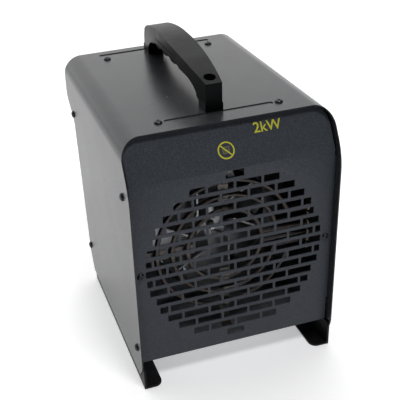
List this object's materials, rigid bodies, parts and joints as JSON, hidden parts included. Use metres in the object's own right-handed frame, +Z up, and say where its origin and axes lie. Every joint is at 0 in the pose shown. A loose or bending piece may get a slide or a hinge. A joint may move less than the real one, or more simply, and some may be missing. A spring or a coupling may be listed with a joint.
{
  "type": "ceramic space heater",
  "caption": "Box-shaped portable electric fan heater with a bent steel cover, slotted round outlet, ring elements, axial fan and arched carrying handle.",
  "frame": {"origin": "centre of the footprint's bounding box, on the floor under the foot rails", "axes": "+Z up, -Y towards the front outlet, +X to the right as seen from the front"},
  "size_m": [0.2044, 0.266, 0.2981],
  "materials": {
    "cover_paint": "semi-gloss metallic grey paint",
    "front_paint": "matt blue-grey paint, finely speckled",
    "rear_paint": "matt black paint",
    "rail_paint": "satin black paint",
    "galvanised_sheet": "galvanised steel sheet",
    "handle_plastic": "black moulded nylon, fine grain",
    "grip_rubber": "soft black grip",
    "zinc_hardware": "bright zinc-plated steel",
    "black_screws": "black zinc",
    "element_sheath": "heat-tinted stainless sheath",
    "steatite": "unglazed white steatite",
    "brass_screws": "plain brass",
    "control_body_plastic": "off-white phenolic",
    "black_plastic": "black nylon",
    "red_plastic": "red moulded",
    "fan_aluminium": "pressed, plain",
    "shaft_steel": "ground steel",
    "lamination_steel": "stacked laminations",
    "coil_winding": "taped enamelled copper winding",
    "cast_alloy": "die cast",
    "sintered_bronze": "oil-filled sintered bronze",
    "wire_insulation": "silicone wire insulation",
    "plate_foil": "satin label plate"
  },
  "bodies": {
    "housing": {"shell_cover": "cover_paint", "front_panel": "front_paint", "rear_panel": "rear_paint", "base_pan": "galvanised_sheet", "heat_shield": "galvanised_sheet", "fan_bulkhead": "galvanised_sheet", "fan_shroud": "galvanised_sheet", "foot_rail_left": "rail_paint", "foot_rail_right": "rail_paint", "foot_screws": "zinc_hardware", "handle_arch": "handle_plastic", "handle_insert": "grip_rubber", "handle_collars": "handle_plastic", "handle_screws": "zinc_hardware", "handle_braces": "galvanised_sheet", "shell_screws": "black_screws", "panel_screws": "black_screws", "element_ring_outer": "element_sheath", "element_ring_middle": "element_sheath", "element_ring_inner": "element_sheath", "element_clips": "zinc_hardware", "ceramic_bushes": "steatite", "ceramic_terminal_block": "steatite", "terminal_screws": "brass_screws", "thermal_cutout": "control_body_plastic", "thermostat_body": "control_body_plastic", "switch_body": "black_plastic", "control_nuts": "zinc_hardware", "reset_body": "black_plastic", "cable_gland": "black_plastic", "motor_stator": "lamination_steel", "motor_coil": "coil_winding", "motor_bracket_front": "cast_alloy", "motor_bracket_rear": "cast_alloy", "motor_bushes": "sintered_bronze", "motor_mount": "galvanised_sheet", "motor_screws": "zinc_hardware", "wire_harness": "wire_insulation", "rating_plate": "plate_foil", "plate_rivets": "fan_aluminium"},
    "fan_and_rotor": {"fan_impeller": "fan_aluminium", "fan_nut": "brass_screws", "motor_shaft": "shaft_steel", "motor_rotor": "lamination_steel"},
    "thermostat_dial": {"thermostat_knob": "black_plastic", "thermostat_shaft": "shaft_steel"},
    "power_dial": {"switch_knob": "black_plastic", "switch_shaft": "black_plastic"},
    "reset_plunger": {"reset_button": "red_plastic"}
  },
  "joints": [
    {"name": "fan_spin", "type": "hinge", "parent": "housing", "child": "fan_and_rotor", "pos_m": [0, -0.054, 0.1244], "axis": [0, 1, 0], "continuous": true},
    {"name": "thermostat_turn", "type": "hinge", "parent": "housing", "child": "thermostat_dial", "pos_m": [-0.037, 0.113, 0.236], "axis": [0, -1, 0], "range_deg": [0, 270]},
    {"name": "power_turn", "type": "hinge", "parent": "housing", "child": "power_dial", "pos_m": [0.037, 0.113, 0.236], "axis": [0, -1, 0], "range_deg": [0, 135]},
    {"name": "reset_press", "type": "slide", "parent": "housing", "child": "reset_plunger", "axis": [0, -1, 0], "range_m": [0, 0.002], "stiffness_N_per_m": 400, "springref_m": -0.001}
  ]
}
